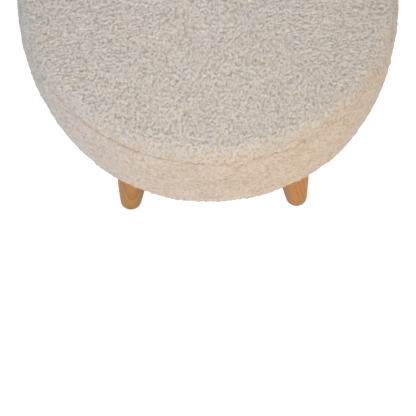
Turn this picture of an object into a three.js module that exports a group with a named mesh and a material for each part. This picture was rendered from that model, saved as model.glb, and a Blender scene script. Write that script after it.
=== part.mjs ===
import * as THREE from 'three';

// A round upholstered footstool on four splayed, turned legs.
// Millimetres, +Z up, with the origin on the floor under the middle of the seat.
// The seat's sizes are measured over the tips of the pile.

// Heights of the seat above the floor
const UNDERSIDE_HEIGHT = 250;
const SEAM_HEIGHT = 374;
const SEAT_HEIGHT = 400;

// Seat cover: a round top panel sewn to a side band at the rim seam
const SEAM_RADIUS = 200;
const SEAM_GROOVE = { depth: 2.6, height: 3.4 };
const SHOULDER_ROLL = 18;
const CROWN_RISE = 7.5;
const BAND_BULGE = 4.7;
const HEM_ROLL = 14.5;

// Unevenness of the filled cover: how many swells go round it, how far they stand out, where they start
const RIM_SWELLS = [
  { count: 2, size: 0.55, start: -1.34 },
  { count: 3, size: 1.1, start: -2.14 },
  { count: 5, size: 0.75, start: -1.69 },
];
const CROWN_SWELLS = [
  { count: 2, size: 0.8, start: 1.1 },
  { count: 3, size: 0.6, start: 0.2 },
];

// Base board, set a little above the turned-under edge of the band
const BOARD_RADIUS = 176;
const BOARD_THICKNESS = 15;
const BOARD_SET_IN = 2;
const BOARD_EDGE = 1;

// Legs: widest at the top, full in the middle and drawn in to a round foot
const LEG_TURNS = {
  leg_front_left: 225,
  leg_front_right: 315,
  leg_back_right: 45,
  leg_back_left: 135,
};
const FOOT_RING_RADIUS = 157;
const LEG_SPLAY = 8.6;
const LEG_TOP_RADIUS = 23;
const LEG_FULLNESS = 2.6;
const FOOT_RADIUS = 14.2;
const FOOT_ROUNDING = 6.4;

// Space between neighbouring pieces
const CLEARANCE = 0.3;

// Facets round the seat and the legs, and along each curved stretch of a profile
const SEAT_SEGMENTS = 72;
const LEG_SEGMENTS = 24;
const ROLL_STEPS = 6;
const WALL_STEPS = 7;
const CROWN_STEPS = 6;
const LEG_STEPS = 8;

const QUARTER_TURN = Math.PI / 2;

// A quarter of an ellipse in the profile plane, starting at the angle from
function quarterRoll(centreX, centreY, radiusX, radiusY, from) {
  const curve = new THREE.EllipseCurve(centreX, centreY, radiusX, radiusY, from, from + QUARTER_TURN);
  return curve.getPoints(ROLL_STEPS);
}

// Turns a profile of radius and height round the Z axis
function turned(profile, segments) {
  const geometry = new THREE.LatheGeometry(profile, segments);
  geometry.rotateX(QUARTER_TURN);
  return geometry;
}

function swell(rows, angle) {
  return rows.reduce((sum, row) => sum + row.size * Math.sin(row.count * angle + row.start), 0);
}

// Pushes a seat piece out and up by its swells.
// The rim swells fade out towards the board, and the crown swells at the middle and at the rim.
function unevenSeat(geometry) {
  const points = geometry.getAttribute('position');
  const shoulderTop = SEAT_HEIGHT - CROWN_RISE;
  const stillRadius = BOARD_RADIUS + CLEARANCE;
  for (let i = 0; i < points.count; i += 1) {
    const x = points.getX(i);
    const y = points.getY(i);
    const z = points.getZ(i);
    const radius = Math.hypot(x, y);
    const angle = Math.atan2(y, x);
    const rim = THREE.MathUtils.smoothstep(radius, stillRadius, SEAM_RADIUS);
    const grow = 1 + (rim * swell(RIM_SWELLS, angle)) / SEAM_RADIUS;
    const reach = Math.min(radius / SEAM_RADIUS, 1);
    const lift = z > shoulderTop ? 4 * reach * (1 - reach) * swell(CROWN_SWELLS, angle) : 0;
    points.setXYZ(i, x * grow, y * grow, z + lift);
  }
  geometry.computeVertexNormals();
  return geometry;
}

// Top panel: a crowned disc with a rolled shoulder, drawn in at the rim seam
function topPanelGeometry() {
  const bottom = SEAM_HEIGHT + CLEARANCE / 2;
  const shoulderTop = SEAT_HEIGHT - CROWN_RISE;
  const shoulderBottom = SEAM_HEIGHT + SEAM_GROOVE.height;
  const crownRadius = SEAM_RADIUS - SHOULDER_ROLL;
  const profile = [
    new THREE.Vector2(0, bottom),
    new THREE.Vector2(SEAM_RADIUS - SEAM_GROOVE.depth, bottom),
    ...quarterRoll(crownRadius, shoulderBottom, SHOULDER_ROLL, shoulderTop - shoulderBottom, 0),
  ];
  for (let i = 1; i <= CROWN_STEPS; i += 1) {
    const out = 1 - i / CROWN_STEPS;
    profile.push(new THREE.Vector2(crownRadius * out, shoulderTop + CROWN_RISE * (1 - out * out)));
  }
  return unevenSeat(turned(profile, SEAT_SEGMENTS));
}

// Outside of the band at a height: it bulges between its two edges
function bandRadius(height) {
  const down = (SEAM_HEIGHT - height) / (SEAM_HEIGHT - UNDERSIDE_HEIGHT);
  return SEAM_RADIUS + BAND_BULGE * 4 * down * (1 - down);
}

// Side band: a filled drum with a recess under it for the board, a rolled lower edge and a bulging wall
function sideBandGeometry() {
  const recessTop = UNDERSIDE_HEIGHT + BOARD_SET_IN + BOARD_THICKNESS + CLEARANCE;
  const recessRadius = BOARD_RADIUS + CLEARANCE;
  const wallBottom = UNDERSIDE_HEIGHT + HEM_ROLL;
  const wallTop = SEAM_HEIGHT - SEAM_GROOVE.height;
  const top = SEAM_HEIGHT - CLEARANCE / 2;
  const hemCentre = bandRadius(wallBottom) - HEM_ROLL;
  const profile = [
    new THREE.Vector2(0, recessTop),
    new THREE.Vector2(recessRadius, recessTop),
    new THREE.Vector2(recessRadius, UNDERSIDE_HEIGHT),
    ...quarterRoll(hemCentre, wallBottom, HEM_ROLL, HEM_ROLL, -QUARTER_TURN),
  ];
  for (let i = 1; i <= WALL_STEPS; i += 1) {
    const height = THREE.MathUtils.lerp(wallBottom, wallTop, i / WALL_STEPS);
    profile.push(new THREE.Vector2(bandRadius(height), height));
  }
  profile.push(new THREE.Vector2(SEAM_RADIUS - SEAM_GROOVE.depth, top));
  profile.push(new THREE.Vector2(0, top));
  return unevenSeat(turned(profile, SEAT_SEGMENTS));
}

// Base board: a plain round board with its edges eased, which carries the legs
function baseBoardGeometry() {
  const bottom = UNDERSIDE_HEIGHT + BOARD_SET_IN;
  const top = bottom + BOARD_THICKNESS;
  const profile = [
    new THREE.Vector2(0, bottom),
    new THREE.Vector2(BOARD_RADIUS - BOARD_EDGE, bottom),
    new THREE.Vector2(BOARD_RADIUS, bottom + BOARD_EDGE),
    new THREE.Vector2(BOARD_RADIUS, top - BOARD_EDGE),
    new THREE.Vector2(BOARD_RADIUS - BOARD_EDGE, top),
    new THREE.Vector2(0, top),
  ];
  return turned(profile, SEAT_SEGMENTS);
}

// Leg: turned upright with its foot on the origin, then leant in towards the seat,
// so that its foot stays flat on the floor and its top flat under the board
function legGeometry() {
  const top = UNDERSIDE_HEIGHT + BOARD_SET_IN - CLEARANCE;
  const footFlat = FOOT_RADIUS - FOOT_ROUNDING;
  const profile = [
    new THREE.Vector2(0, 0),
    ...quarterRoll(footFlat, FOOT_ROUNDING, FOOT_ROUNDING, FOOT_ROUNDING, -QUARTER_TURN),
  ];
  for (let i = 1; i <= LEG_STEPS; i += 1) {
    const up = i / LEG_STEPS;
    const radius = LEG_TOP_RADIUS - (LEG_TOP_RADIUS - FOOT_RADIUS) * (1 - up) ** LEG_FULLNESS;
    profile.push(new THREE.Vector2(radius, THREE.MathUtils.lerp(FOOT_ROUNDING, top, up)));
  }
  profile.push(new THREE.Vector2(0, top));
  const lean = -Math.tan(THREE.MathUtils.degToRad(LEG_SPLAY));
  const geometry = turned(profile, LEG_SEGMENTS);
  geometry.applyMatrix4(new THREE.Matrix4().makeShear(0, 0, 0, 0, lean, 0));
  return geometry;
}

function namedMesh(name, geometry, material) {
  const mesh = new THREE.Mesh(geometry, material);
  mesh.name = name;
  return mesh;
}

function teddyFabric() {
  return new THREE.MeshStandardMaterial({ color: 0xe3d9cc, roughness: 0.95, metalness: 0 });
}

function boardWood() {
  return new THREE.MeshStandardMaterial({ color: 0xcdb08a, roughness: 0.75, metalness: 0 });
}

function legWood() {
  return new THREE.MeshStandardMaterial({ color: 0xbb8850, roughness: 0.5, metalness: 0 });
}

const footstool = new THREE.Group();

const seat = new THREE.Group();
seat.add(namedMesh('top_panel', topPanelGeometry(), teddyFabric()));
seat.add(namedMesh('side_band', sideBandGeometry(), teddyFabric()));
seat.add(namedMesh('base_board', baseBoardGeometry(), boardWood()));
footstool.add(seat);

for (const [name, turn] of Object.entries(LEG_TURNS)) {
  const corner = new THREE.Group();
  const leg = namedMesh(name, legGeometry(), legWood());
  corner.rotation.z = THREE.MathUtils.degToRad(turn);
  leg.position.x = FOOT_RING_RADIUS;
  corner.add(leg);
  footstool.add(corner);
}

export default footstool;
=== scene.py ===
import math
import bmesh
import bpy
import numpy as np
from mathutils import Matrix, Vector
from mathutils.bvhtree import BVHTree


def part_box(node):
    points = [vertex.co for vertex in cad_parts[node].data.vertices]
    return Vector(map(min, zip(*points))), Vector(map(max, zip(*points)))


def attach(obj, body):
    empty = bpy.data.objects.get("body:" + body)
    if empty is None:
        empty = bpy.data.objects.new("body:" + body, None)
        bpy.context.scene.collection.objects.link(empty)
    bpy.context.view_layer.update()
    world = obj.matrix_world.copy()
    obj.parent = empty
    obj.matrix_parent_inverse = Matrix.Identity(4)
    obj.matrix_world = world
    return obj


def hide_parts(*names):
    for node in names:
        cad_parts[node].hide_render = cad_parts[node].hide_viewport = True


# Round footstool in curly cream pile on turned legs. Metres, +Z up, front towards -Y.

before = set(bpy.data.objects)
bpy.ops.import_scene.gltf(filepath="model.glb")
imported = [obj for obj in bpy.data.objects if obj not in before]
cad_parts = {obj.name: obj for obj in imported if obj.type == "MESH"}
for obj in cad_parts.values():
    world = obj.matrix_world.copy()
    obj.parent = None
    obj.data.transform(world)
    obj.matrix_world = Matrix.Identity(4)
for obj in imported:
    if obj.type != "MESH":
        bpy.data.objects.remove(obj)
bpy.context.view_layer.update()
scene = bpy.context.scene
scene.view_settings.view_transform = "Standard"
millimetre = 0.001
quarterTurn = math.pi / 2
tiny = 1e-9  # keeps a length that is divided by above zero

topLow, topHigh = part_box("top_panel")
bandLow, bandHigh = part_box("side_band")
boardLow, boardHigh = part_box("base_board")
seamHeight = (topLow.z + bandHigh.z) / 2
underside = bandLow.z
rimRadius = (topHigh.x - topLow.x) / 2
boardRadius = (boardHigh.x - boardLow.x) / 2
print("frame loaded: seam at", round(seamHeight, 4), "rim radius", round(rimRadius, 4))


# small helpers
def linkedObject(name, data):
    made = bpy.data.objects.new(name, data)
    scene.collection.objects.link(made)
    return made


def plainMesh(holder, name):
    # what the modifiers make of an object, as a mesh of its own
    graph = bpy.context.evaluated_depsgraph_get()
    mesh = bpy.data.meshes.new_from_object(holder.evaluated_get(graph), depsgraph=graph)
    mesh.name = name
    return mesh


def triples(items, key):
    flat = np.empty(len(items) * 3, np.float32)
    items.foreach_get(key, flat)
    return flat.reshape(-1, 3).astype(float)


def points(mesh):
    return triples(mesh.vertices, "co")


def setPoints(mesh, places):
    mesh.vertices.foreach_set("co", np.asarray(places, np.float32).ravel())
    mesh.update()


def drawIn(mesh, depths):
    normals = triples(mesh.vertex_normals, "vector")
    setPoints(mesh, points(mesh) - normals * depths[:, None])


def pointValue(mesh, name, values):
    layer = mesh.attributes.new(name, "FLOAT", "POINT")
    layer.data.foreach_set("value", np.asarray(values, np.float32))


def fromAxis(places):
    return np.hypot(places[:, 0], places[:, 1])


def fade(values, low, high):
    share = np.clip((values - low) / (high - low), 0, 1)
    return share * share * (3 - 2 * share)


# camera
view = {
    "eye": (0.0, -0.5773, 1.3998),
    "lookDown": 72.02,  # degrees below level
    "pan": -0.99,  # degrees to the right
    "roll": -2.21,
    "lens": 95.19,  # millimetres, as is the next
    "sensorWidth": 36,
}


def makeCamera():
    data = bpy.data.cameras.new("camera")
    data.lens = view["lens"]
    data.sensor_width = view["sensorWidth"]
    camera = linkedObject("camera", data)
    down, pan, roll = (math.radians(view[key]) for key in ("lookDown", "pan", "roll"))
    ahead = Vector((math.sin(pan) * math.cos(down), math.cos(pan) * math.cos(down), -math.sin(down)))
    right = ahead.cross(Vector((0, 0, 1))).normalized()
    up = right.cross(ahead)
    across = right * math.cos(roll) + up * math.sin(roll)
    upright = up * math.cos(roll) - right * math.sin(roll)
    turn = Matrix((across, upright, -ahead)).transposed().to_4x4()
    camera.matrix_world = Matrix.Translation(view["eye"]) @ turn
    scene.camera = camera


makeCamera()


# node trees
class Nodes:
    def add(self, kind, **settings):
        node = self.tree.nodes.new(kind)
        for key, value in settings.items():
            setattr(node, key, value)
        return node

    def give(self, socket, value):
        # a socket is linked, any other value is set
        if isinstance(value, bpy.types.NodeSocket):
            self.tree.links.new(value, socket)
        else:
            socket.default_value = value

    def feed(self, node, **inputs):
        for name, value in inputs.items():
            self.give(node.inputs[name.replace("_", " ")], value)
        return node

    def worked(self, kind, operation, values):
        # a sum or the like, with its inputs in order
        node = self.add(kind, operation=operation)
        for socket, value in zip(node.inputs, values):
            self.give(socket, value)
        return node.outputs

    def maths(self, operation, *values):
        return self.worked("ShaderNodeMath", operation, values)["Value"]

    def vector(self, operation, *values):
        outputs = self.worked("ShaderNodeVectorMath", operation, values)
        return outputs["Value" if operation == "DOT_PRODUCT" else "Vector"]

    def leftOver(self, share):
        # what a share leaves of 1
        return self.maths("SUBTRACT", 1.0, share)

    def stretched(self, vector, factor):
        node = self.add("ShaderNodeVectorMath", operation="SCALE")
        self.give(node.inputs[0], vector)
        self.give(node.inputs["Scale"], factor)
        return node.outputs["Vector"]

    def eased(self, value, low, high):
        # a soft step from 0 to 1
        node = self.feed(self.add("ShaderNodeMapRange", interpolation_type="SMOOTHSTEP"), Value=value)
        self.feed(node, From_Min=low, From_Max=high)
        return node.outputs["Result"]

    def split(self, vector):
        return self.feed(self.add("ShaderNodeSeparateXYZ"), Vector=vector).outputs

    def joined(self, x, y, z):
        return self.feed(self.add("ShaderNodeCombineXYZ"), X=x, Y=y, Z=z).outputs["Vector"]


class Maker(Nodes):
    # a geometry tree with named sizes
    def __init__(self, name, sizes):
        self.tree = bpy.data.node_groups.new(name, "GeometryNodeTree")
        ports = self.tree.interface
        ports.new_socket("Geometry", in_out="INPUT", socket_type="NodeSocketGeometry")
        ports.new_socket("Geometry", in_out="OUTPUT", socket_type="NodeSocketGeometry")
        for key, value in sizes.items():
            kind = "NodeSocketInt" if isinstance(value, int) else "NodeSocketFloat"
            ports.new_socket(key, in_out="INPUT", socket_type=kind)
        self.given = self.add("NodeGroupInput").outputs

    def place(self):
        return self.add("GeometryNodeInputPosition").outputs["Position"]

    def carried(self, name):
        # a value that the start mesh carries at its points
        return self.feed(self.add("GeometryNodeInputNamedAttribute"), Name=name).outputs["Attribute"]

    def store(self, geometry, name, value, kind="FLOAT"):
        node = self.add("GeometryNodeStoreNamedAttribute", data_type=kind, domain="POINT")
        self.feed(node, Geometry=geometry, Name=name, Value=value)
        return node.outputs["Geometry"]

    def moved(self, geometry, place):
        node = self.feed(self.add("GeometryNodeSetPosition"), Geometry=geometry, Position=place)
        return node.outputs["Geometry"]

    def finish(self, geometry, material):
        real = self.feed(self.add("GeometryNodeRealizeInstances"), Geometry=geometry).outputs["Geometry"]
        painted = self.feed(self.add("GeometryNodeSetMaterial"), Geometry=real, Material=material)
        self.feed(self.add("NodeGroupOutput"), Geometry=painted.outputs["Geometry"])

    def made(self, name, start, sizes):
        # the plain mesh that the tree makes of a start mesh
        holder = linkedObject(name + "Holder", start)
        modifier = holder.modifiers.new(self.tree.name, "NODES")
        modifier.node_group = self.tree
        for port in self.tree.interface.items_tree:
            if port.in_out == "INPUT" and port.name in sizes:
                modifier[port.identifier] = sizes[port.name]
        mesh = plainMesh(holder, name)
        bpy.data.objects.remove(holder)
        return mesh


class Shader(Nodes):
    # a material's tree
    def __init__(self, name):
        self.material = bpy.data.materials.new(name)
        self.material.use_nodes = True
        self.tree = self.material.node_tree
        self.surface = self.tree.nodes["Principled BSDF"]

    def objectPlace(self):
        return self.add("ShaderNodeTexCoord").outputs["Object"]

    def attribute(self, name, output="Fac"):
        return self.add("ShaderNodeAttribute", attribute_name=name).outputs[output]

    def scaled(self, place, scale):
        return self.feed(self.add("ShaderNodeMapping"), Vector=place, Scale=scale).outputs["Vector"]

    def noise(self, place, scale, **settings):
        return self.feed(self.add("ShaderNodeTexNoise"), Vector=place, Scale=scale, **settings).outputs

    def ramp(self, value, stops):
        node = self.feed(self.add("ShaderNodeValToRGB"), Fac=value)
        elements = node.color_ramp.elements
        while len(elements) < len(stops):
            elements.new(0.5)
        for element, (place, colour) in zip(elements, stops):
            element.position = place
            element.color = (*colour, 1)
        return node.outputs["Color"]

    def between(self, value, low, high):
        # stretches a 0 to 1 value over another range
        node = self.feed(self.add("ShaderNodeMapRange"), Value=value, To_Min=low, To_Max=high)
        return node.outputs["Result"]

    def blend(self, first, second, share, kind="MIX"):
        node = self.add("ShaderNodeMix", data_type="RGBA", blend_type=kind)
        # the node has sockets of the same name for each kind of value: 6 and 7 take colours
        for socket, value in ((node.inputs[6], first), (node.inputs[7], second), (node.inputs[0], share)):
            self.give(socket, value)
        return node.outputs[2]

    def tinted(self, colour, tint):
        return self.blend(colour, tint, 1.0, "MULTIPLY")

    def shifted(self, place, scale, reach):
        # moves each place a little, by a soft noise
        noise = self.noise(place, scale, Detail=1.0)["Color"]
        return self.vector("MULTIPLY_ADD", noise, (2 * reach, 2 * reach, 2 * reach), place)

    def bump(self, height, strength, distance, sunk=False):
        node = self.add("ShaderNodeBump", invert=sunk)
        return self.feed(node, Height=height, Strength=strength, Distance=distance)


# stage and lights
stage = {
    "radius": 6.0,
    "wallHeight": 4.0,
    "segments": 96,
    "roughness": 0.9,
    "floorColour": (0.6, 0.6, 0.6, 1),
    "floorGlow": (1.0, 1.0, 1.035, 1),
    "floorStrength": 0.68,
    "wallColour": (0, 0, 0, 1),
    "wallGlow": (1.0, 1.0, 1.0, 1),
    "wallStrength": 0.96,
    "skyColour": (0.82, 0.91, 1.0, 1),
    "skyStrength": 0.11,
}
lamps = {
    "overhead": {"place": (0.0, -0.15, 1.0), "size": 0.5, "watts": 3.66, "colour": (0.82, 0.90, 1.0)},
    "frontWarm": {"place": (0.2, -1.6, 0.9), "size": 0.9, "watts": 13.4, "colour": (1.0, 0.73, 0.44)},
    "leftWindow": {"place": (-1.4, -0.9, 0.7), "size": 0.9, "watts": 8.8, "colour": (0.26, 0.58, 1.0)},
    "rightFill": {"place": (1.6, -0.3, 1.0), "size": 0.9, "watts": 3.2, "colour": (1.0, 0.96, 0.92)},
    "backFill": {"place": (-0.3, 1.6, 0.9), "size": 0.9, "watts": 6.0, "colour": (1.0, 0.95, 0.9)},
}


def stagePaint(name):
    paint = Shader(name + "Paint")
    paint.feed(
        paint.surface, Base_Color=stage[name + "Colour"], Roughness=stage["roughness"],
        Emission_Color=stage[name + "Glow"], Emission_Strength=stage[name + "Strength"],
    )
    return paint.material


def makeRoom():
    # a round floor with a wall standing at its edge, seen from inside
    count = stage["segments"]
    turns = [2 * math.pi * i / count for i in range(count)]
    foot = [(stage["radius"] * math.cos(turn), stage["radius"] * math.sin(turn), 0.0) for turn in turns]
    head = [(x, y, stage["wallHeight"]) for x, y, _ in foot]
    sides = [((i + 1) % count, i, count + i, count + (i + 1) % count) for i in range(count)]
    for name, places, faces in (("floor", foot, [range(count)]), ("wall", foot + head, sides)):
        mesh = bpy.data.meshes.new(name)
        mesh.from_pydata(places, [], faces)
        mesh.materials.append(stagePaint(name))
        linkedObject(name, mesh)


def makeSky():
    sky = bpy.data.worlds.new("softSky")
    sky.use_nodes = True
    background = sky.node_tree.nodes["Background"]
    background.inputs["Color"].default_value = stage["skyColour"]
    background.inputs["Strength"].default_value = stage["skyStrength"]
    scene.world = sky


def makeLamp(name, place, size, watts, colour):
    # a soft round lamp that looks at the middle of the seat
    data = bpy.data.lights.new(name, "AREA")
    data.shape = "DISK"
    data.size = size
    data.energy = watts
    data.color = colour
    lamp = linkedObject(name, data)
    lamp.visible_camera = False
    lamp.location = place
    lamp.rotation_mode = "QUATERNION"
    target = Vector((0, 0, seamHeight))
    lamp.rotation_quaternion = (target - lamp.location).to_track_quat("-Z", "Y")


makeRoom()
makeSky()
for lampName, row in lamps.items():
    makeLamp(lampName, **row)
print("camera, floor and lights made")


# fabric finishes
pileFinish = {
    # each first on the top, then on the band, whose own colours are painted light: the warm light on it and
    # the warm bounce in its creases
    # the roots are darker than the tips: painted shade deep in the pile
    "root": ((0.463, 0.391, 0.320, 1), (0.495, 0.386, 0.278, 1)),
    "tip": ((0.616, 0.548, 0.476, 1), (0.598, 0.556, 0.515, 1)),
    "coolTint": ((0.945, 0.98, 1.01, 1), (0.955, 1.0, 1.06, 1)),
    "warmTint": ((1.0, 0.985, 0.945, 1), (1.01, 0.975, 0.925, 1)),
    # broad lighter and darker patches, and smaller mottles on the band
    "patchScale": 38,
    "topPatches": [(0.3, (0.955, 0.96, 0.968)), (0.7, (1, 1, 1))],
    "bandPatches": [(0.3, (0.925, 0.91, 0.89)), (0.7, (1, 1, 1))],
    "mottleScale": 140,
    "mottles": [(0.35, (0.945, 0.93, 0.91)), (0.65, (1.015, 1.02, 1.03))],
    # small curls: bent cells, with painted shade darkening the gaps between them
    "curlScale": 485,
    "curlBend": 2.1 * millimetre,
    "curlBendScale": 280,
    "curlBump": 0.42,
    "curlDepth": 1.2 * millimetre,
    "creaseShade": [(0.31, (1, 1, 1)), (0.59, (0.915, 0.907, 0.899)), (0.86, (0.765, 0.75, 0.74))],
    "creaseShadeMean": (0.872, 0.874, 0.878, 1),  # the painted crease shade evened out, where the curls are combed shut
    "fibreScale": 1500,
    "fibreBump": 0.5,
    "fibreDepth": 0.6 * millimetre,
    "roughness": 0.95,
    "specular": 0.1,
    "sheen": 0.03,
    "sheenRoughness": 0.6,
    "sheenTint": (1.0, 0.95, 0.88, 1),
}


def pileMaterial():
    cloth = Shader("curlyPile")
    place = cloth.objectPlace()
    # 0 on the top, 1 on the band, by how far up the surface looks: painted light
    bandPaintedLight = cloth.attribute("bandPaintedLight")  # 0 on the top, 1 on the band
    root, tip, cool, warm = (
        cloth.blend(*pileFinish[key], bandPaintedLight) for key in ("root", "tip", "coolTint", "warmTint")
    )
    # darker towards the roots of the pile, along the seam and at the hem: painted shade
    body = cloth.blend(root, tip, cloth.attribute("rise"))
    body = cloth.tinted(body, cloth.blend(cool, warm, cloth.attribute("tint")))

    patches = cloth.noise(place, pileFinish["patchScale"], Detail=3.0)["Fac"]
    mottles = cloth.noise(place, pileFinish["mottleScale"], Detail=1.0)["Fac"]
    topShade = cloth.ramp(patches, pileFinish["topPatches"])
    bandShade = cloth.ramp(patches, pileFinish["bandPatches"])
    bandShade = cloth.tinted(bandShade, cloth.ramp(mottles, pileFinish["mottles"]))
    body = cloth.tinted(body, cloth.blend(topShade, bandShade, bandPaintedLight))

    bent = cloth.shifted(place, pileFinish["curlBendScale"], pileFinish["curlBend"])
    curls = cloth.add("ShaderNodeTexVoronoi", feature="F1")
    curls = cloth.feed(curls, Vector=bent, Scale=pileFinish["curlScale"]).outputs["Distance"]
    # painted shade in the gaps between the curls
    creaseShade = cloth.ramp(curls, pileFinish["creaseShade"])
    creaseShade = cloth.blend(pileFinish["creaseShadeMean"], creaseShade, cloth.attribute("openCreaseShade"))
    body = cloth.tinted(body, creaseShade)

    fibres = cloth.noise(place, pileFinish["fibreScale"], Detail=4.0, Roughness=0.7)["Fac"]
    rough = cloth.bump(fibres, pileFinish["fibreBump"], pileFinish["fibreDepth"])
    hollow = cloth.bump(curls, pileFinish["curlBump"], pileFinish["curlDepth"], sunk=True)
    cloth.feed(hollow, Normal=rough.outputs["Normal"])
    cloth.feed(
        cloth.surface, Base_Color=body, Normal=hollow.outputs["Normal"],
        Roughness=pileFinish["roughness"], Specular_IOR_Level=pileFinish["specular"],
        Sheen_Weight=pileFinish["sheen"], Sheen_Roughness=pileFinish["sheenRoughness"],
        Sheen_Tint=pileFinish["sheenTint"],
    )
    return cloth.material


def groundMaterial():
    cloth = Shader("pileGround")
    # the hidden base takes the roots' colour, a painted shade
    cloth.feed(cloth.surface, Base_Color=pileFinish["root"][0], Roughness=1.0)
    cloth.feed(cloth.surface, Specular_IOR_Level=pileFinish["specular"])
    return cloth.material


curlyPile = pileMaterial()
pileGround = groundMaterial()

# padded cover: the two cut panels, filled and swollen, drawn in at the rim seam
cover = {
    "crownRings": 21,
    "shoulderRings": 4,
    "columns": 144,
    "wallRows": 12,
    "hemRows": 4,
    "shoulderRoll": 18 * millimetre,
    "crownRise": 7.5 * millimetre,
    "grooveDepth": 2.6 * millimetre,
    "grooveHeight": 3.4 * millimetre,
    "hemRoll": 14.5 * millimetre,
    "bulge": 4.7 * millimetre,
    "boardGap": 0.3 * millimetre,
    "boardHold": (1 * millimetre, 9 * millimetre),  # past the board, the hem comes loose between these
    "hiddenTop": (0.85, 0.6, 0.3, 0.08),  # rings under the top panel, as shares of the rim's radius
    "hiddenRecess": (1.0, 0.75, 0.4, 0.1),  # and over the board, as shares of the recess's
    "drawnIn": 2.2 * millimetre,  # depth of the pile
    "swellCap": 5.0 * millimetre,
    "frames": 20,
    "baseUnder": 1.6 * millimetre,  # the filled base lies this far under the roots of the pile
    "seamWidth": 0.5 * millimetre,  # nearer to the seam than this, a point is one of its own
    "seamStep": 0.05 * millimetre,  # how far from its edge a panel's rim is measured
    "wallCounts": 10,  # a step up the wall goes as far from the hem as this many on the underside
    "weld": 0.01 * millimetre,
}
seamRadius = rimRadius - cover["grooveDepth"]
recessRadius = boardRadius + cover["boardGap"]

# how far each panel is drawn in further before its filling swells it,
# the filling's pressure and the cloth's slack
fillings = {
    "top_panel": {"room": 0.8 * millimetre, "pressure": 0.06, "slack": 0.0},
    "side_band": {"room": 1.0 * millimetre, "pressure": 4.0, "slack": 0.006},
}


def topProfile():
    # radius and height of each ring, from the middle of the top out to the seam
    roll, groove = cover["shoulderRoll"], cover["grooveHeight"]
    flat = rimRadius - roll
    shoulder = topHigh.z - cover["crownRise"]
    drop = shoulder - seamHeight - groove
    rows = []
    for i in range(cover["crownRings"] + 1):
        share = i / cover["crownRings"]
        rows.append((flat * share, shoulder + cover["crownRise"] * (1 - share**2)))
    for i in range(1, cover["shoulderRings"] + 1):
        turn = quarterTurn * (1 - i / cover["shoulderRings"])
        rows.append((flat + roll * math.cos(turn), seamHeight + groove + drop * math.sin(turn)))
    rows.append((seamRadius, topLow.z))
    return np.array(rows)


def bandProfile():
    # radius and height of each row, from the seam down and under to the board
    roll = cover["hemRoll"]
    wallTop, wallBottom = bandHigh.z - cover["grooveHeight"], underside + roll
    rows = [(seamRadius, bandHigh.z)]
    for i in range(cover["wallRows"] + 1):
        height = wallTop + (wallBottom - wallTop) * i / cover["wallRows"]
        down = (seamHeight - height) / (seamHeight - underside)
        rows.append((rimRadius + cover["bulge"] * 4 * down * (1 - down), height))
    middle = rows[-1][0] - roll
    for i in range(1, cover["hemRows"] + 1):
        turn = quarterTurn * i / cover["hemRows"]
        rows.append((middle + roll * math.cos(turn), wallBottom - roll * math.sin(turn)))
    rows += [((middle + recessRadius) / 2, underside), (recessRadius, underside)]
    return np.array(rows)


def discGrid(profile):
    # square cells laid over a disc, so that none is much narrower than the next
    rings = len(profile) - 1
    wide = 2 * rings + 1
    places = []
    for j in range(-rings, rings + 1):
        for i in range(-rings, rings + 1):
            if abs(i) >= abs(j):
                turn = quarterTurn / 2 * j / i if i else 0
                turn += math.pi if i < 0 else 0
            else:
                turn = quarterTurn - quarterTurn / 2 * i / j
                turn += math.pi if j < 0 else 0
            radius, height = profile[max(abs(i), abs(j))]
            places.append((radius * math.cos(turn), radius * math.sin(turn), height))
    faces, unrolled = [], []
    for j in range(2 * rings):
        for i in range(2 * rings):
            first = j * wide + i
            faces.append((first, first + 1, first + wide + 1, first + wide))
            for u, v in ((i, j), (i + 1, j), (i + 1, j + 1), (i, j + 1)):
                unrolled.append((u / (2 * rings), v / (2 * rings)))
    return np.array(places), faces, unrolled


def columnTurns():
    return -math.pi + 2 * math.pi * np.arange(cover["columns"]) / cover["columns"]


def ringGrid(profile):
    # rows going down, columns going round
    columns = cover["columns"]
    turns = columnTurns()
    places = np.stack([
        np.outer(profile[:, 0], np.cos(turns)), np.outer(profile[:, 0], np.sin(turns)),
        np.repeat(profile[:, 1:], columns, 1),
    ], 2).reshape(-1, 3)
    faces, unrolled = [], []
    last = len(profile) - 1
    for j in range(last):
        for i in range(columns):
            k = (i + 1) % columns
            faces.append((j * columns + i, (j + 1) * columns + i, (j + 1) * columns + k, j * columns + k))
            for u, v in ((i, j), (i, j + 1), (i + 1, j + 1), (i + 1, j)):
                unrolled.append((u / columns, 1 - v / last))
    return places, faces, unrolled


def snapped(places, node, seam):
    # on to the surface of the CAD solid, whose rim isn't quite round
    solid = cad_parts[node].data
    corners = [vertex.co for vertex in solid.vertices]
    tree = BVHTree.FromPolygons(corners, [tuple(face.vertices) for face in solid.polygons])
    found = []
    for place in places:
        spot = Vector(place)
        outward = Vector((spot.x, spot.y, 0))
        if outward.length > boardRadius:
            reach = tree.ray_cast(Vector((0, 0, seam)), outward.normalized())[3]
            share = fade(outward.length, boardRadius, seamRadius)
            spot += outward * (share * (reach / seamRadius - 1))
        found.append(tree.find_nearest(spot)[0])
    return np.array(found)


def meshFrom(name, places, faces, unrolled=None):
    mesh = bpy.data.meshes.new(name)
    mesh.from_pydata(np.asarray(places).tolist(), [], faces)
    if unrolled is not None:
        layer = mesh.uv_layers.new(name="OFBake")
        layer.data.foreach_set("uv", np.asarray(unrolled, np.float32).ravel())
    return mesh


def closingTop(places, faces):
    # the hidden face of the panel, which lies on the band
    low = places.copy()
    low[:, 2] = topLow.z
    rings = (math.isqrt(len(places)) - 1) // 2
    step = np.abs(np.indices((2 * rings + 1, 2 * rings + 1)) - rings).max(0).ravel()
    inside = step < rings
    reach = fromAxis(places)
    edge = reach[~inside].mean()
    low[inside, :2] *= (edge * step / rings / reach.clip(tiny))[inside, None]
    return low, [tuple(len(places) + index for index in reversed(face)) for face in faces]


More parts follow.
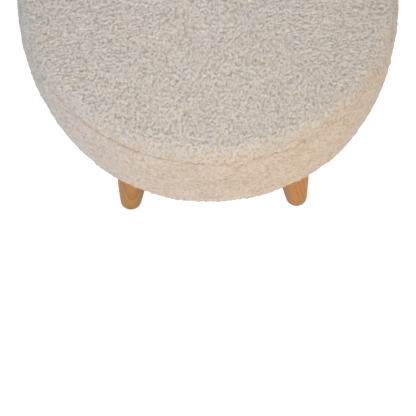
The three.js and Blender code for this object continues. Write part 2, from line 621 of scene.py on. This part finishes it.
def closingBand(places, faces):
    # the hidden faces of the band: on the panel, round the board and over it
    columns = cover["columns"]
    recess = boardHigh.z + cover["boardGap"]
    above = [(rimRadius * share, bandHigh.z) for share in cover["hiddenTop"]]
    below = [(recessRadius * share, recess) for share in cover["hiddenRecess"]]
    extra, extraFaces = [], []
    start = len(places)
    for rows, near, flip in ((above, 0, True), (below, start - columns, False)):
        for radius, height in rows:
            fresh = start + len(extra)
            extra += [(radius * math.cos(turn), radius * math.sin(turn), height) for turn in columnTurns()]
            for i in range(columns):
                k = (i + 1) % columns
                face = (near + i, fresh + i, fresh + k, near + k)
                extraFaces.append(tuple(reversed(face)) if flip else face)
            near = fresh
        cap = tuple(near + i for i in range(columns))
        extraFaces.append(cap if flip else tuple(reversed(cap)))
    return np.array(extra), extraFaces


def seamDistance(places):
    return np.hypot(places[:, 2] - seamHeight, fromAxis(places) - seamRadius)


def hemDistance(places):
    # from the edge that is turned under, along the underside and up the wall
    return fromAxis(places) - boardRadius + cover["wallCounts"] * (places[:, 2] - underside)


def looseTop(places):
    return fade(places[:, 2], topLow.z, seamHeight + cover["grooveHeight"])


def looseBand(places):
    # held at the seam and where the edge turns under to the board
    atSeam = fade(seamHeight - places[:, 2], 0, cover["grooveHeight"])
    return atSeam * fade(fromAxis(places) - boardRadius, *cover["boardHold"])


def swollen(mesh, held, filling):
    # the filling pushes the cover out, away from the held edges
    holder = linkedObject("clothHolder", mesh)
    group = holder.vertex_groups.new(name="held")
    for index in np.flatnonzero(held > 0):
        group.add([int(index)], float(held[index]), "REPLACE")
    cloth = holder.modifiers.new("filling", "CLOTH")
    cloth.settings.use_pressure = True
    cloth.settings.uniform_pressure_force = filling["pressure"]
    cloth.settings.shrink_min = -filling["slack"]
    cloth.settings.effector_weights.gravity = 0
    cloth.settings.vertex_group_mass = "held"
    cloth.point_cache.frame_end = cover["frames"]
    for number in range(1, cover["frames"] + 1):
        scene.frame_set(number)
    after = points(plainMesh(holder, "swelling"))
    scene.frame_set(1)
    bpy.data.objects.remove(holder)
    before = points(mesh)
    move = after - before
    length = np.linalg.norm(move, axis=1, keepdims=True) + tiny
    setPoints(mesh, before + move / length * cover["swellCap"] * np.tanh(length / cover["swellCap"]))
    print("filling swells the cover by", round(float(np.median(length[held < 0.5])), 4))


def weld(mesh):
    work = bmesh.new()
    work.from_mesh(mesh)
    bmesh.ops.remove_doubles(work, verts=work.verts, dist=cover["weld"])
    work.to_mesh(mesh)
    work.free()


def paddedPiece(name, node, grid, closing, looseness, seam):
    # a closed base that shows nowhere, and over it the skin that carries the pile
    outside, faces, unrolled = grid
    fromSeam, fromHem = seamDistance(outside), hemDistance(outside)
    outside = snapped(outside, node, seam)
    hidden, hiddenFaces = closing(outside, faces)
    mesh = meshFrom(name, np.concatenate([outside, hidden]), faces + hiddenFaces)
    loose = np.concatenate([looseness(outside), np.zeros(len(hidden))])
    room = fillings[node]["room"]
    drawIn(mesh, loose * (cover["drawnIn"] + room))
    swollen(mesh, 1 - loose, fillings[node])
    places = points(mesh)[:len(outside)]
    places[fromSeam < cover["seamWidth"], 2] = seamHeight
    skin = meshFrom(name + "Skin", places, faces, unrolled)
    pointValue(skin, "fromSeam", fromSeam)
    pointValue(skin, "fromHem", fromHem)
    drawIn(mesh, loose * cover["baseUnder"])
    weld(mesh)
    mesh.shade_smooth()
    mesh.materials.append(pileGround)
    piece = linkedObject(name, mesh)
    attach(piece, "root")
    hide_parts(node)
    print(name, "padded:", len(mesh.polygons), "faces")
    return skin


topSeam, bandSeam = topLow.z + cover["seamStep"], bandHigh.z - cover["seamStep"]
topSkin = paddedPiece("top_cover", "top_panel", discGrid(topProfile()), closingTop, looseTop, topSeam)
bandSkin = paddedPiece("band_cover", "side_band", ringGrid(bandProfile()), closingBand, looseBand, bandSeam)

# curly pile: a fine skin with the relief of close, soft curls
pile = {
    "levels": 3,
    "height": 2.4 * millimetre,
    "floor": 0.2 * millimetre,  # height of the shortest pile
    "nub": 2.45 * millimetre,  # widths of the curls, of clumps of them and of tufts
    "clump": 4.4 * millimetre,
    "tuft": 6.0 * millimetre,
    "curlReach": 0.85,  # how much of its cell a curl or a clump fills
    "tuftReach": 0.75,
    "clumpShare": 0.1,
    "bandClumpShare": 0.4,  # what the band has of them besides
    "tuftHeight": 1.4 * millimetre,  # of the tallest tufts
    "bandTufts": -0.15,  # how much they change on the band
    "shoulderHeight": -0.45,  # and the pile's height on the shoulder
    "swirl": 1.2 * millimetre,
    "swirlWaves": 200.0,
    "sway": 0.5 * millimetre,
    "lump": 30 * millimetre,  # soft unevenness of the filling under the band
    "lumpHeight": 1.3 * millimetre,
    "shoulderCombed": 0.9,  # how far the curls are combed shut on the shoulder and the band, which evens out their painted crease shade
    "bandCombed": 0.2,
    "seamNear": 4.0 * millimetre,  # nearer than this, the seam draws the pile down
    "seamDepth": 0.55,
    "seamEver": 0.15,  # the share of that which it has all round
    "seamWaves": 10.0,  # how closely its deep stretches follow each other
    "seamShut": 0.48,  # heights of those waves where it starts to deepen and is deepest
    "seamOpen": 0.66,
    "seamSeed": 32.0,
    "hemShort": 8 * millimetre,
}
# how far up a surface looks where the top, the band and the band's painted light fade into the shoulder
slopes = {"top": (0.85, 0.98), "band": (0.1, 0.5), "bandPaintedLight": (0.4, 0.9)}


def pileTree():
    tree = Maker("pileRelief", pile)
    size = tree.given
    finer = tree.add("GeometryNodeSubdivisionSurface", uv_smooth="NONE")
    tree.feed(finer, Mesh=size["Geometry"], Level=size["levels"])
    place = tree.place()

    # at the seam the pile of both panels stands straight out, so that they meet
    near = tree.leftOver(tree.eased(tree.carried("fromSeam"), 0.0, size["seamNear"]))
    outward = tree.vector("NORMALIZE", tree.vector("MULTIPLY", place, (1, 1, 0)))
    facing = tree.add("GeometryNodeInputNormal").outputs["Normal"]
    turning = tree.stretched(tree.vector("SUBTRACT", outward, facing), near)
    facing = tree.vector("NORMALIZE", tree.vector("ADD", facing, turning))
    upward = tree.split(facing)["Z"]
    top = tree.eased(upward, *slopes["top"])
    band = tree.leftOver(tree.eased(upward, *slopes["band"]))
    shoulder = tree.maths("SUBTRACT", tree.leftOver(top), band)

    def waves(scale, output, seed=0.0):
        noise = tree.add("ShaderNodeTexNoise", noise_dimensions="4D")
        tree.feed(noise, Vector=place, W=seed, Scale=scale, Detail=0.0)
        return noise.outputs[output]

    def cells(where, width):
        scale = tree.maths("DIVIDE", 1.0, width)
        return tree.feed(tree.add("ShaderNodeTexVoronoi"), Vector=where, Scale=scale).outputs

    def domes(cell, reach):
        out = tree.maths("DIVIDE", cell["Distance"], reach)
        return tree.maths("MAXIMUM", tree.leftOver(tree.maths("MULTIPLY", out, out)), 0.0)

    # curls in bent cells, clumps of them, and a few taller tufts
    swirl = tree.vector("MULTIPLY_ADD", waves(size["swirlWaves"], "Color"), (2, 2, 2), (-1, -1, -1))
    bent = tree.vector("ADD", place, tree.stretched(swirl, size["swirl"]))
    clumps, tufts = cells(bent, size["clump"]), cells(bent, size["tuft"])
    nub = domes(cells(bent, size["nub"]), size["curlReach"])
    clump = domes(clumps, size["curlReach"])
    ownShare = tree.split(tufts["Color"])["X"]
    fewTall = tree.maths("MULTIPLY", ownShare, ownShare)
    tuft = tree.maths("MULTIPLY", domes(tufts, size["tuftReach"]), fewTall)
    tuft = tree.maths("MULTIPLY", tuft, tree.maths("MULTIPLY_ADD", band, size["bandTufts"], 1.0))
    clumped = tree.maths("MULTIPLY_ADD", band, size["bandClumpShare"], size["clumpShare"])
    high = tree.maths("MULTIPLY_ADD", tree.maths("SUBTRACT", clump, nub), clumped, nub)

    # the pile is short along parts of the seam, and where the band turns under
    gape = waves(size["seamWaves"], "Fac", size["seamSeed"])
    gape = tree.eased(gape, size["seamShut"], size["seamOpen"])
    gape = tree.maths("MULTIPLY_ADD", gape, tree.leftOver(size["seamEver"]), size["seamEver"])
    length = tree.maths("MULTIPLY", tree.maths("MULTIPLY", gape, size["seamDepth"]), near)
    length = tree.leftOver(length)
    length = tree.maths("MULTIPLY", length, tree.eased(tree.carried("fromHem"), 0.0, size["hemShort"]))

    standing = tree.maths("MULTIPLY_ADD", shoulder, size["shoulderHeight"], 1.0)
    standing = tree.maths("MULTIPLY", size["height"], standing)
    lift = tree.maths("MULTIPLY_ADD", standing, high, size["floor"])
    lift = tree.maths("MULTIPLY_ADD", size["tuftHeight"], tuft, lift)
    lumps = tree.maths("MULTIPLY_ADD", waves(tree.maths("DIVIDE", 1.0, size["lump"]), "Fac"), 2.0, -1.0)
    lift = tree.maths("MULTIPLY_ADD", size["lumpHeight"], tree.maths("MULTIPLY", lumps, band), lift)
    along = tree.stretched(facing, tree.vector("DOT_PRODUCT", swirl, facing))
    sway = tree.stretched(tree.vector("SUBTRACT", swirl, along), size["sway"])
    shift = tree.stretched(tree.vector("ADD", tree.stretched(facing, lift), sway), length)

    # what the material reads
    # combed shut, the painted crease shade is evened out
    shut = tree.maths("MULTIPLY", shoulder, size["shoulderCombed"])
    shut = tree.maths("MULTIPLY_ADD", band, size["bandCombed"], shut)
    # rise: how high the pile stands, which the colour turns into painted shade where it is low
    skin = tree.store(finer.outputs["Mesh"], "rise", tree.maths("MULTIPLY", high, length))
    skin = tree.store(skin, "tint", tree.split(clumps["Color"])["X"])
    skin = tree.store(skin, "openCreaseShade", tree.leftOver(shut))
    # how far down the surface looks: the band's colours are painted light
    skin = tree.store(skin, "bandPaintedLight", tree.leftOver(tree.eased(upward, *slopes["bandPaintedLight"])))
    skin = tree.moved(skin, tree.vector("ADD", place, shift))
    tree.finish(skin, curlyPile)
    return tree


def pilePiece(mesh, name, axis, count, number):
    # one of a few strips of a skin, cut across its map, with a map of its own
    total = len(mesh.polygons)
    corners = np.empty(total * 4, np.int32)
    mesh.loops.foreach_get("vertex_index", corners)
    unrolled = np.empty(total * 8, np.float32)
    mesh.uv_layers["OFBake"].data.foreach_get("uv", unrolled)
    corners, unrolled = corners.reshape(-1, 4), unrolled.reshape(-1, 4, 2)
    strip = (unrolled.mean(1)[:, axis] * count).astype(int).clip(0, count - 1)
    keep = strip == number
    own = unrolled[keep].astype(float)
    own[:, :, axis] = own[:, :, axis] * count - number
    used, fresh = np.unique(corners[keep], return_inverse=True)
    part = meshFrom(name, points(mesh)[used], fresh.reshape(-1, 4).tolist(), own)
    for key in ("rise", "tint", "openCreaseShade", "bandPaintedLight"):
        values = np.empty(len(mesh.vertices), np.float32)
        mesh.attributes[key].data.foreach_get("value", values)
        pointValue(part, key, values[used])
    part.shade_smooth()
    part.materials.append(curlyPile)
    piece = linkedObject(name, part)
    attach(piece, "root")
    print(name, "made:", 2 * len(part.polygons), "triangles")


pileMaker = pileTree()
topPile = pileMaker.made("topPile", topSkin, pile)
bandPile = pileMaker.made("bandPile", bandSkin, pile)
topStrips = ("pile_top_front", "pile_top_back")
bandStrips = ("pile_band_front", "pile_band_right", "pile_band_back")
for skinMesh, axis, names in ((topPile, 1, topStrips), (bandPile, 0, bandStrips)):
    for number, name in enumerate(names):
        pilePiece(skinMesh, name, axis, len(names), number)

# legs: turned to one rule, leant in and set round the seat
legs = {
    "leg_front_left": {"turn": 225, "tone": 0.985},
    "leg_front_right": {"turn": 315, "tone": 1.125},
    "leg_back_right": {"turn": 45, "tone": 1.04},
    "leg_back_left": {"turn": 135, "tone": 1.07},
}
leg = {
    "height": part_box("leg_front_left")[1].z,
    "footRing": 157 * millimetre,
    "splay": math.radians(8.6),
    "turn": 0.0,
    "topRadius": 23 * millimetre,
    "fullness": 2.6,
    "footRadius": 14.2 * millimetre,
    "footRounding": 6.4 * millimetre,
    "segments": 56,
    "footSteps": 8,
    "bodySteps": 26,
    "pith": 13 * millimetre,
    "cutLength": 2.7,  # how far along the wood the next leg is cut
    "tone": 1.0,
    "innerShade": 0.45,  # painted shade: the wood is darker on the side under the seat
    "shadeFull": -0.6,  # how far out a side looks where that painted shade is full and where it ends
    "shadeEnd": 0.85,
    "seed": 1,
}
wood = {
    "tones": [(0.25, (0.256, 0.112, 0.0255)), (0.5, (0.33, 0.15, 0.0323)), (0.75, (0.375, 0.18, 0.043))],
    # each pattern is drawn out along the leg
    "streakScale": 170,
    "streakStretch": (1, 1, 0.06),
    "ringScale": 105.0,
    "ringStretch": (1, 1, 0.04),
    "ringShare": 0.42,
    "poreScale": 900,
    "poreStretch": (1, 1, 0.03),
    "pores": [(0.3, (0.72, 0.66, 0.6)), (0.42, (1, 1, 1))],
    "poreShare": 0.6,
    "poreBump": 0.15,
    "poreDepth": 0.4 * millimetre,
    "roughness": (0.5, 0.62),
    "specular": 0.15,
}


def legMaterial():
    oak = Shader("honeyWood")
    place = oak.attribute("grain", "Vector")
    along = oak.scaled(place, wood["streakStretch"])
    streaks = oak.noise(along, wood["streakScale"], Detail=4.0, Roughness=0.6, Distortion=0.4)["Fac"]
    rings = oak.add("ShaderNodeTexWave", wave_type="RINGS", rings_direction="Z", wave_profile="SAW")
    oak.feed(rings, Vector=oak.scaled(place, wood["ringStretch"]), Scale=wood["ringScale"])
    oak.feed(rings, Distortion=2.2, Detail=2.0, Detail_Scale=0.6)
    body = oak.ramp(oak.blend(streaks, rings.outputs["Color"], wood["ringShare"]), wood["tones"])
    pores = oak.noise(oak.scaled(place, wood["poreStretch"]), wood["poreScale"], Detail=2.0)["Fac"]
    body = oak.blend(body, oak.ramp(pores, wood["pores"]), wood["poreShare"], "MULTIPLY")
    # the tone carries each leg's own tone and the painted shade under the seat
    body = oak.stretched(body, oak.attribute("tone"))
    dents = oak.bump(pores, wood["poreBump"], wood["poreDepth"])
    oak.feed(
        oak.surface, Base_Color=body, Roughness=oak.between(streaks, *wood["roughness"]),
        Normal=dents.outputs["Normal"], Specular_IOR_Level=wood["specular"],
    )
    return oak.material


def legTree(finish):
    tree = Maker("turnedLeg", leg)
    size = tree.given
    steps = tree.maths("ADD", tree.maths("ADD", size["footSteps"], size["bodySteps"]), 1.0)
    line = tree.feed(tree.add("GeometryNodeResampleCurve"), Count=steps)
    tree.feed(line, Curve=tree.add("GeometryNodeCurvePrimitiveLine").outputs["Curve"])

    # the foot's rounding first, then the full taper up to the board
    step = tree.add("GeometryNodeInputIndex").outputs["Index"]
    bend = tree.maths("MINIMUM", tree.maths("DIVIDE", step, size["footSteps"]), 1.0)
    bend = tree.maths("MULTIPLY", bend, quarterTurn)
    up = tree.maths("DIVIDE", tree.maths("SUBTRACT", step, size["footSteps"]), size["bodySteps"])
    up = tree.maths("MAXIMUM", up, 0.0)
    left = tree.maths("POWER", tree.leftOver(up), size["fullness"])
    widening = tree.maths("SUBTRACT", size["topRadius"], size["footRadius"])
    radius = tree.maths("MULTIPLY_ADD", widening, tree.leftOver(left), size["footRadius"])
    drawnIn = tree.leftOver(tree.maths("SINE", bend))
    radius = tree.maths("SUBTRACT", radius, tree.maths("MULTIPLY", size["footRounding"], drawnIn))
    shaft = tree.maths("MULTIPLY", tree.maths("SUBTRACT", size["height"], size["footRounding"]), up)
    rolled = tree.leftOver(tree.maths("COSINE", bend))
    height = tree.maths("MULTIPLY_ADD", size["footRounding"], rolled, shaft)
    axis = tree.moved(line.outputs["Curve"], tree.joined(0.0, 0.0, height))
    ring = tree.feed(tree.add("GeometryNodeCurvePrimitiveCircle"), Resolution=size["segments"], Radius=1.0)
    body = tree.add("GeometryNodeCurveToMesh")
    tree.feed(body, Curve=axis, Profile_Curve=ring.outputs["Curve"], Scale=radius, Fill_Caps=True)

    # the pith lies a little beside each leg, and each is cut from another length of the wood
    place = tree.place()
    x, y, z = tree.split(place)
    cut = tree.joined(size["pith"], size["pith"], tree.maths("MULTIPLY", size["seed"], size["cutLength"]))
    turned = tree.store(body.outputs["Mesh"], "grain", tree.vector("ADD", place, cut), "FLOAT_VECTOR")
    # and the side that looks in under the seat is darker: painted shade under the seat, carried in the tone
    outward = tree.split(tree.vector("NORMALIZE", tree.joined(x, y, 0.0)))["X"]
    inner = tree.leftOver(tree.eased(outward, size["shadeFull"], size["shadeEnd"]))
    shade = tree.leftOver(tree.maths("MULTIPLY", size["innerShade"], inner))
    turned = tree.store(turned, "tone", tree.maths("MULTIPLY", size["tone"], shade))

    lean = tree.maths("MULTIPLY", tree.maths("TANGENT", size["splay"]), z)
    out = tree.maths("SUBTRACT", tree.maths("ADD", size["footRing"], x), lean)
    placed = tree.add("ShaderNodeVectorRotate", rotation_type="Z_AXIS")
    tree.feed(placed, Vector=tree.joined(out, y, z), Angle=size["turn"])
    tree.finish(tree.moved(turned, placed.outputs["Vector"]), finish)
    return tree


legMaker = legTree(legMaterial())
for number, (legName, row) in enumerate(legs.items()):
    sizes = dict(leg, turn=math.radians(row["turn"]), tone=row["tone"], seed=number + 1)
    turnedLeg = legMaker.made(legName + "_turned", bpy.data.meshes.new("legStart"), sizes)
    turnedLeg.shade_smooth()
    piece = linkedObject(legName + "_turned", turnedLeg)
    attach(piece, "root")
    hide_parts(legName)
    print(legName, "turned:", len(turnedLeg.polygons), "faces")

# base board
ply = {
    "tones": [(0.3, (0.45, 0.30, 0.16)), (0.55, (0.60, 0.44, 0.26)), (0.8, (0.68, 0.52, 0.34))],
    "streakScale": 130,
    "streakStretch": (0.08, 1, 1),
    "streakBump": 0.1,
    "streakDepth": 0.5 * millimetre,
    "roughness": 0.75,
}


def boardMaterial():
    veneer = Shader("boardPly")
    along = veneer.scaled(veneer.objectPlace(), ply["streakStretch"])
    streaks = veneer.noise(along, ply["streakScale"], Detail=5.0, Roughness=0.6, Distortion=0.6)["Fac"]
    ridges = veneer.bump(streaks, ply["streakBump"], ply["streakDepth"])
    veneer.feed(
        veneer.surface, Base_Color=veneer.ramp(streaks, ply["tones"]),
        Roughness=ply["roughness"], Normal=ridges.outputs["Normal"],
    )
    return veneer.material


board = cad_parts["base_board"].data
board.materials.clear()
board.materials.append(boardMaterial())
print("board finished")
